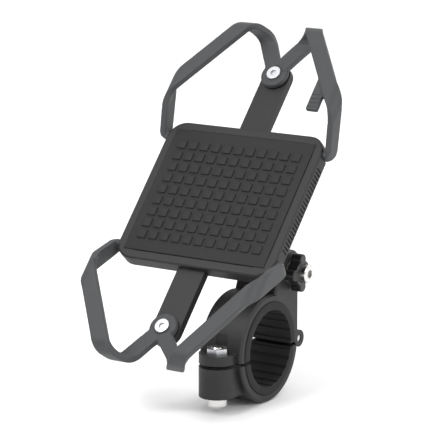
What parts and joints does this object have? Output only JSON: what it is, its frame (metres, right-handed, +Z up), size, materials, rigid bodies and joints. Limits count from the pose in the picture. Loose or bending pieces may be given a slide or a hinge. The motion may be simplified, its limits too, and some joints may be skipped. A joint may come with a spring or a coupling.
{
  "type": "handlebar phone mount",
  "caption": "Phone holder for a handlebar: hinged screw clamp with rubber liner, tilting and turning head, back plate with pad and silicone corner straps.",
  "frame": {"origin": "centre of the clamp's bore, on the handlebar's axis", "axes": "+X along the bar towards the rider's right, +Y forwards, +Z up; the plate faces the rider and up"},
  "size_m": [0.084, 0.1192, 0.1483],
  "materials": {
    "black_nylon": "glass-filled nylon, fine moulded grain",
    "knob_plastic": "moulded, satin",
    "acetal": "smooth low-friction plastic",
    "liner_rubber": "dull rubber",
    "silicone": "matt grey silicone",
    "stainless": "turned stainless steel",
    "zinc_steel": "zinc-plated steel"
  },
  "bodies": {
    "clamp": {"clamp_body": "black_nylon", "upper_liner": "liner_rubber", "clamp_nut": "zinc_steel", "jaw_hinge_pin": "stainless", "tilt_nut": "zinc_steel"},
    "jaw": {"clamp_jaw": "black_nylon", "lower_liner": "liner_rubber"},
    "clamp_screw": {"clamp_bolt": "stainless", "clamp_washer": "stainless"},
    "tilt_head": {"tilt_bracket": "black_nylon", "friction_washers": "acetal", "detent_ball": "stainless", "detent_spring": "zinc_steel", "detent_plug": "zinc_steel"},
    "knob": {"tilt_knob": "knob_plastic", "tilt_screw": "stainless", "knob_washer": "stainless"},
    "holder": {"swivel_disc": "acetal", "swivel_screw": "zinc_steel", "swivel_washer": "zinc_steel", "swivel_nut": "zinc_steel", "back_plate": "black_nylon", "plate_screws": "zinc_steel", "rubber_pad": "liner_rubber", "upper_strap": "silicone", "lower_strap": "silicone", "strap_screws": "zinc_steel"}
  },
  "joints": [
    {"name": "tilt", "type": "hinge", "parent": "clamp", "child": "tilt_head", "pos_m": [0, 0.0163, 0.0291], "axis": [1, 0, 0], "range_deg": [-45, 4]},
    {"name": "swivel", "type": "hinge", "parent": "tilt_head", "child": "holder", "pos_m": [-0.018, 0.01024, 0.05486], "axis": [0, -0.7314, 0.682], "continuous": true},
    {"name": "knob_turn", "type": "hinge", "parent": "clamp", "child": "knob", "pos_m": [0.011, 0.0163, 0.0291], "axis": [1, 0, 0], "continuous": true},
    {"name": "clamp_screw_travel", "type": "slide", "parent": "clamp", "child": "clamp_screw", "axis": [0, 0, -1], "range_m": [0, 0.005]},
    {"name": "jaw_hinge", "type": "hinge", "parent": "clamp", "child": "jaw", "pos_m": [0, 0.0235, -0.001], "axis": [1, 0, 0], "range_deg": [0, 5.5]}
  ],
  "couplings": [
    {"joint": "jaw_hinge", "follows": "clamp_screw_travel", "rad_per_m": 18.6}
  ]
}
